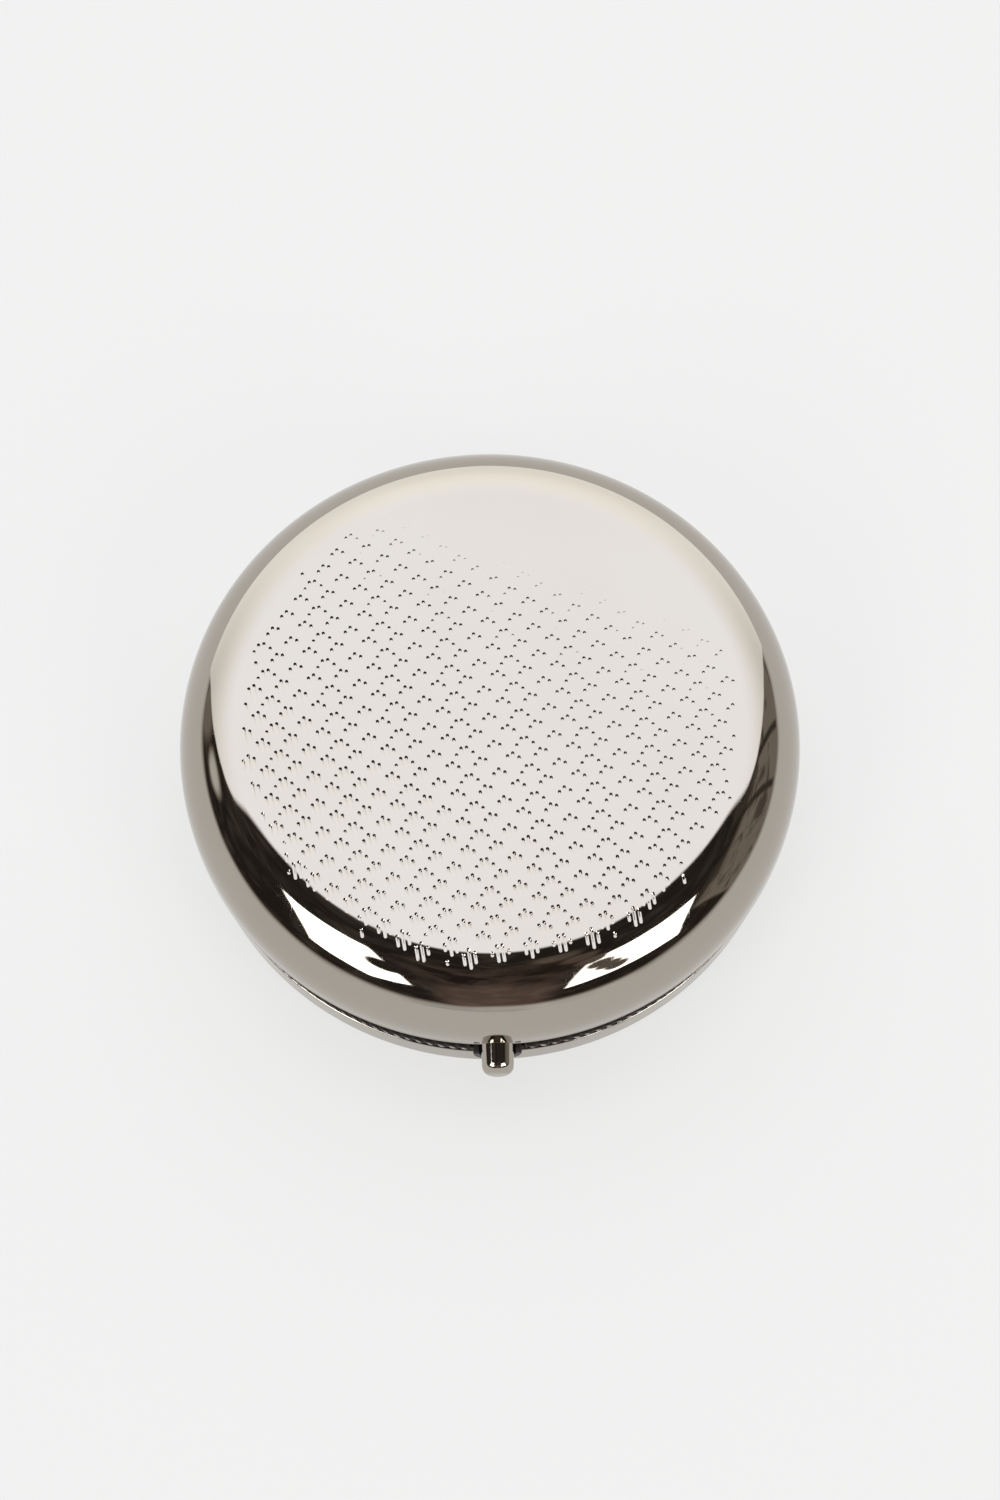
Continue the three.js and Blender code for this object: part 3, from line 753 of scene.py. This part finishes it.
def make_rim_band():
    """The milled band: slanting round beads, open at the front for the button's guide."""
    low, top = BAND_LOW[2], BAND_HIGH[2]
    inner = NECK_HIGH[0] + 0.1
    opening = math.asin((GUIDE_R + CUT_GAP) / BAND_HIGH[0])
    start = -math.pi / 2 + opening
    sweep = 2 * math.pi - 2 * opening
    columns = BEAD_COUNT * COLUMNS_PER_BEAD
    mesh = bmesh.new()
    loops = []
    for i in range(columns + 1):
        turn = start + sweep * i / columns
        corners = [(inner, top), (inner, low)]
        for k in range(BAND_ROWS + 1):
            share = k / BAND_ROWS
            height_share = 0.5 - 0.5 * math.cos(math.pi * share)
            corners.append((band_radius(turn, share), low + (top - low) * height_share))
        east, north = math.cos(turn), math.sin(turn)
        loops.append([mesh.verts.new((r * MM * east, r * MM * north, z * MM)) for r, z in corners])
    for before, after in zip(loops, loops[1:]):
        for k in range(len(before)):
            n = (k + 1) % len(before)
            mesh.faces.new((before[k], after[k], after[n], before[n]))
    mesh.faces.new(loops[0])
    mesh.faces.new(reversed(loops[-1]))
    bmesh.ops.recalc_face_normals(mesh, faces=mesh.faces)
    data = bpy.data.meshes.new("milled_band")
    mesh.to_mesh(data)
    mesh.free()
    data.shade_smooth()
    data.set_sharp_from_angle(angle=BAND_SHARP_ANGLE)
    piece = add_object("milled_band", data)
    return polished("base_rim_band", piece, "base", MILLED)


# ---------- button ----------


def along_y(height):
    """Stands a piece made about Z along Y instead, with its top at the front, at the button's height."""
    return Matrix.Translation((0, 0, height * MM)) @ Matrix.Rotation(math.pi / 2, 4, "X")


BUTTON_SHEEN = 74                   # degrees from its axis that the worn side of the button shines with


def make_push_button():
    """The button's runs are (radius, distance in front of the box's axis, slope)."""
    tip = -BUTTON_LOW[1]
    end = -BUTTON_HIGH[1]
    shoulder = tip - 3.95
    nose = 0.7
    taper = 0.05
    crown = 0.036
    edge = 0.1
    groove_r = 0.75
    flange_r = 1.1
    tail_r = 0.6
    flange = shoulder - 0.5
    tail = flange - 0.15
    nose_r = BUTTON_R - nose - taper
    outside = [(0, tip, 0.0), (nose_r, tip - crown, math.radians(6))]
    rounding = arc(nose_r, tip - nose, nose, 14, 90, 10)
    outside += [(radius, along, slope * BUTTON_SHEEN / 90) for radius, along, slope in rounding]
    outside += flat(BUTTON_R, tip - 2.0, BUTTON_R, shoulder + edge, BUTTON_SHEEN)
    outside += arc(BUTTON_R - edge, shoulder + edge, edge, 90, 180, 3)[1:]
    outside += flat(groove_r + 0.05, shoulder, groove_r, shoulder, 180)
    groove = flat(groove_r, shoulder, groove_r, flange, 90)
    flange_front = flat(groove_r, flange, flange_r, flange, 0)
    flange_rim = flat(flange_r, flange, flange_r, tail, 90)
    flange_rear = flat(flange_r, tail, tail_r, tail, 180)
    stem = flat(tail_r, tail, tail_r, end + edge, 90)
    stem += arc(tail_r - edge, end + edge, edge, 90, 180, 3)[1:]
    stem += [(0, end, math.pi)]
    runs = [outside, groove, flange_front, flange_rim, flange_rear, stem]
    piece = revolve(Surface(), runs, even_turns(64)).build("button_turned", along_y(BUTTON_Z))
    return polished("push_button", piece, "button", PLATE)


# ---------- CAD nodes that keep their shape ----------


SHARP_ANGLE = math.radians(35)


def dress(node, material, edge):
    """Gives a CAD node its material, softened edges and smooth round faces."""
    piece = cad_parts[node]
    piece.data.materials.clear()
    piece.data.materials.append(material)
    bevel = piece.modifiers.new("soft_edges", "BEVEL")
    bevel.width = edge * MM
    bevel.segments = 2
    bevel.limit_method = "ANGLE"
    bevel.angle_limit = SHARP_ANGLE
    for face in piece.data.polygons:
        face.use_smooth = True
    piece.data.set_sharp_from_angle(angle=SHARP_ANGLE)
    even = piece.modifiers.new("even_shading", "WEIGHTED_NORMAL")
    even.mode = "FACE_AREA_WITH_ANGLE"
    even.keep_sharp = True


# ---------- stage, light and camera ----------

STUDIO_WHITE = 0.871                # linear value of the plain pale ground
FLOOR_GLOW = 0.68                   # the floor's own light, which keeps it pale right up to the box
FLOOR_HALF_SIZE = 1.5               # metres


def make_floor():
    size = FLOOR_HALF_SIZE
    mesh = bpy.data.meshes.new("studio_floor")
    mesh.from_pydata([(-size, -size, 0), (size, -size, 0), (size, size, 0), (-size, size, 0)], [], [range(4)])
    floor = add_object("studio_floor", mesh)
    material, _, shader, _ = new_material("studio_paper", roughness=0.9, base_color=(0.145, 0.142, 0.135))
    shader.inputs["Emission Color"].default_value = (1, 1, 1, 1)
    shader.inputs["Emission Strength"].default_value = FLOOR_GLOW
    shader.inputs["Specular IOR Level"].default_value = 0.0
    mesh.materials.append(material)


WHITE = (1.0, 1.0, 1.0)
SHEET_LIGHT = 1.95
SHEET_COLOUR = (0.965, 1.0, 1.10)
SHEET_LOW_COLOUR = (0.99, 0.992, 1.0)   # the sheet is warmer near the table
CARD_LIGHT = 6.0
TABLE_LIGHT = 0.8
ROOM_COLOUR = (1.0, 0.84, 0.72)
BROWN = (1.0, 0.72, 0.62)


class StudioMap(Graph):
    """
    Nodes for the light that comes from each direction. Directions are laid out as on a round map:
    the zenith in the middle, the back at the top, and degrees as distance.
    """

    def __init__(self, tree):
        super().__init__(tree)
        self.way = self.node("ShaderNodeTexCoord").outputs["Generated"]
        x, y, z = self.node("ShaderNodeSeparateXYZ", {"Vector": self.way}).outputs
        self.from_zenith = self.times(self.maths("ARCCOSINE", z), 180 / math.pi)
        flat_way = self.largest(self.length(x, y), 0.001)
        self.side = self.maths("DIVIDE", x, flat_way)
        across = self.times(self.from_zenith, self.side)
        along = self.times(self.from_zenith, self.maths("DIVIDE", y, flat_way))
        self.right = self.add(across, self.wobble(3.5))
        self.back = self.add(along, self.wobble(3.0))
        self.off_middle = self.maths("ABSOLUTE", self.right)
        self.clutter = self.noise(self.way, 4.5, 5.0, 0.6, 1.2)

    def wobble(self, scale):
        """Bends straight edges by up to 1.5 degrees."""
        return self.times(self.less(self.noise(self.way, scale), 0.5), 3.0)

    def beyond(self, across, along, limit, soft=1.6):
        """1 where across * right + along * back is past the limit."""
        reach = self.add(self.times(self.right, across), self.times(self.back, along))
        return self.ramp(reach, limit - soft / 2, limit + soft / 2)

    def shape(self, *limits):
        """1 inside a shape with straight sides, each given as for beyond()."""
        mask = self.beyond(*limits[0])
        for limit in limits[1:]:
            mask = self.times(mask, self.beyond(*limit))
        return mask

    def spot(self, at_right, at_back, radius, soft):
        gap = self.length(self.less(self.right, at_right), self.less(self.back, at_back))
        return self.ramp(gap, radius + soft, radius - soft)

    def without(self, mask, hole):
        return self.times(mask, self.less(1.0, hole))


def white_sheet(studio):
    """The sheet behind and above: (where it shows, its light, its tint). It dims towards the table."""
    front_edge = studio.ramp(studio.off_middle, 0.0, 40.0, -5.0, 6.5)
    off_edge = studio.maths("ABSOLUTE", studio.add(studio.right, 1.5))
    side_edge = studio.times(studio.less(off_edge, 47.5), 1.8)
    edge = studio.maths("SMOOTH_MAX", front_edge, side_edge, 16.0)
    shows = studio.ramp(studio.less(studio.back, edge), -1.5, 2.0)
    light = studio.ramp(studio.from_zenith, 36.0, 88.0, SHEET_LIGHT, SHEET_LIGHT * 0.6)
    light = studio.add(light, studio.ramp(studio.back, 34.0, 72.0, 0.0, SHEET_LIGHT * 0.26))
    tint = studio.colours(studio.ramp(studio.from_zenith, 38.0, 72.0), SHEET_COLOUR, SHEET_LOW_COLOUR)
    return shows, light, tint


def table_light(studio):
    """The table round the box, in soft patches."""
    edge = studio.add(80.0, studio.times(studio.maths("ABSOLUTE", studio.side), 6.0))
    shows = studio.ramp(studio.less(studio.from_zenith, edge), -3.0, 5.0)
    mottle = studio.noise(studio.way, 2.4, 3.0)
    return studio.times(shows, studio.ramp(mottle, 0.35, 0.7, TABLE_LIGHT * 0.85, TABLE_LIGHT * 1.2))


def white_cards(studio):
    """Two white cards in front: (where they show, the brown bar across the right one)."""
    left = studio.shape(
        (-1.0, 0.0, 25.5),
        (-0.5, -1.0, 39.0),
        (1.0, -0.38, -39.9),
        (1.0, 1.0, -100.0),
        (0.0, 1.0, -59.5),
    )
    left = studio.without(left, studio.spot(-27.5, -42.0, 6.5, 1.2))
    right = studio.shape((1.0, 0.0, 22.0), (0.5, -1.0, 46.0), (-1.0, -0.48, -37.0), (-0.5, 1.0, -75.5))
    bar = studio.spot(11.0, -22.0, 4.0, 1.5)
    for at_right, at_back in ((17.0, -29.0), (22.0, -36.0), (27.0, -42.5), (31.0, -47.0), (35.0, -51.0)):
        bar = studio.largest(bar, studio.spot(at_right, at_back, 4.2, 1.2))
    return studio.largest(left, studio.without(right, bar)), bar


def dark_room(studio, bar):
    """The dark room in front, with dim things at its sides: (its light, where it is brown)."""
    clutter = studio.clutter
    depths = studio.ramp(clutter, 0.42, 0.72, 0.03, 0.085)
    right_wall = studio.shape((1.0, 0.0, 54.0, 7.0), (0.0, 1.0, -31.0, 3.0))
    right_wall = studio.times(right_wall, studio.ramp(clutter, 0.64, 0.48, 0.05, 0.27))
    for tilt, height in ((-0.5, -13.0), (-0.25, -12.0)):
        off_line = studio.less(studio.add(studio.back, studio.times(studio.right, tilt)), height)
        line = studio.ramp(studio.maths("ABSOLUTE", off_line), 0.6, 2.2, 0.12, 1.0)
        right_wall = studio.times(right_wall, line)
    left_lamp = studio.times(studio.spot(-70.0, 14.0, 6.0, 3.0), 0.8)
    left_wall = studio.times(studio.spot(-72.0, 33.0, 9.0, 4.0), 0.24)
    low_front = studio.beyond(0.0, -1.0, 52.0, 14.0)
    low_front = studio.times(low_front, studio.ramp(studio.off_middle, 24.0, 12.0, 0.0, 0.13))
    brown = studio.times(studio.beyond(0.0, -1.0, 24.0, 12.0), studio.ramp(studio.off_middle, 26.0, 14.0))
    glow = studio.times(brown, studio.ramp(clutter, 0.4, 0.6, 0.0, 0.025))
    light = depths
    for part in (right_wall, left_lamp, left_wall, low_front, glow, studio.times(bar, 0.13)):
        light = studio.add(light, part)
    return light, brown


def make_world():
    """
    The box stands on a table under a white sheet that rises behind it and arches over. In front the room
    is dark, with two white cards. The camera itself sees a plain pale ground.
    """
    world = bpy.data.worlds.new("studio")
    bpy.context.scene.world = world
    world.use_nodes = True
    world.node_tree.nodes.clear()
    studio = StudioMap(world.node_tree)
    sheet, sheet_light, sheet_tint = white_sheet(studio)
    cards, bar = white_cards(studio)
    room, brown = dark_room(studio, bar)
    cards_light = studio.times(cards, CARD_LIGHT)
    light = studio.largest(room, cards_light, table_light(studio), studio.times(sheet, sheet_light))
    tint = studio.colours(studio.ramp(light, 0.1, 0.7), ROOM_COLOUR, WHITE)
    tint = studio.colours(studio.times(brown, studio.ramp(light, 0.6, 0.2)), tint, BROWN)
    tint = studio.colours(sheet, tint, sheet_tint)
    around = studio.node("ShaderNodeBackground", {"Color": tint, "Strength": light})
    plain = studio.node("ShaderNodeBackground", {"Color": (*WHITE, 1.0), "Strength": STUDIO_WHITE})
    seen = studio.node("ShaderNodeLightPath").outputs["Is Camera Ray"]
    both = studio.node("ShaderNodeMixShader", {0: seen, 1: around.outputs[0], 2: plain.outputs[0]})
    studio.node("ShaderNodeOutputWorld", {"Surface": both.outputs[0]})


def make_softbox():
    """A large soft lamp overhead, which the plate doesn't mirror. Its sizes are in metres."""
    lamp = bpy.data.lights.new("overhead_softbox", "AREA")
    lamp.shape = "DISK"
    lamp.size = 0.9
    lamp.energy = 2.0
    softbox = add_object("overhead_softbox", lamp)
    softbox.location = (0.05, 0.1, 1.0)
    softbox.visible_glossy = False


CAMERA_DISTANCE = 250.0
CAMERA_ELEVATION = math.radians(69.5)
CAMERA_AZIMUTH = math.radians(1.4)  # the camera stands a little to the left of the button's line
FRAME_HEIGHT = 121.6                # what the picture's height takes in at the lid's edge
AIM_RIGHT = 0.81                    # the picture's middle is this far to the right of the lid's
AIM_DOWN = 0.32                     # and this far below it
SENSOR_HEIGHT = 24.0


def make_camera():
    toward = Vector((
        -math.cos(CAMERA_ELEVATION) * math.sin(CAMERA_AZIMUTH),
        -math.cos(CAMERA_ELEVATION) * math.cos(CAMERA_AZIMUTH),
        math.sin(CAMERA_ELEVATION),
    ))
    turn = toward.to_track_quat("Z", "Y").to_matrix()
    aim = Vector((0, 0, PARTING_Z)) + turn @ Vector((AIM_RIGHT, -AIM_DOWN, 0))
    camera = bpy.data.cameras.new("camera")
    camera.sensor_fit = "VERTICAL"
    camera.sensor_height = SENSOR_HEIGHT
    camera.lens = SENSOR_HEIGHT * CAMERA_DISTANCE / FRAME_HEIGHT
    camera.clip_start = 0.01
    viewer = add_object("camera", camera)
    viewer.matrix_world = Matrix.Translation((aim + toward * CAMERA_DISTANCE) * MM) @ turn.to_4x4()
    bpy.context.scene.camera = viewer


# ---------- assembly ----------

make_camera()
make_world()
make_softbox()
make_floor()

make_lid_shell()
make_lid_inner_ring()
make_disc("vanity_mirror", GLASS_LOW, GLASS_HIGH, 0.15, MIRROR, "mirror_glass")
make_disc("mirror_foam_pad", PAD_LOW, PAD_HIGH, 0.08, FOAM, "mirror_pad")
make_base_shell()
make_rim_band()
make_push_button()

STAMPINGS = (
    "base_hinge_leaf",
    "base_hinge_rivet_left",
    "base_hinge_rivet_right",
    "hinge_pin",
    "lid_hinge_leaf",
    "lid_catch",
    "latch_bracket",
    "latch_rivet_left",
    "latch_rivet_right",
)
for stamping in STAMPINGS:
    dress(stamping, STEEL, 0.05)
for spring in ("latch_spring", "button_clip"):
    dress(spring, SPRING, 0.04)
dress("button_guide", BLACK_PLASTIC, 0.06)
dress("base_neck_ring", LINED_PLATE, 0.06)
dress("pill_tray", TRAY_PLASTIC, 0.25)

bpy.context.scene.view_settings.view_transform = "Standard"
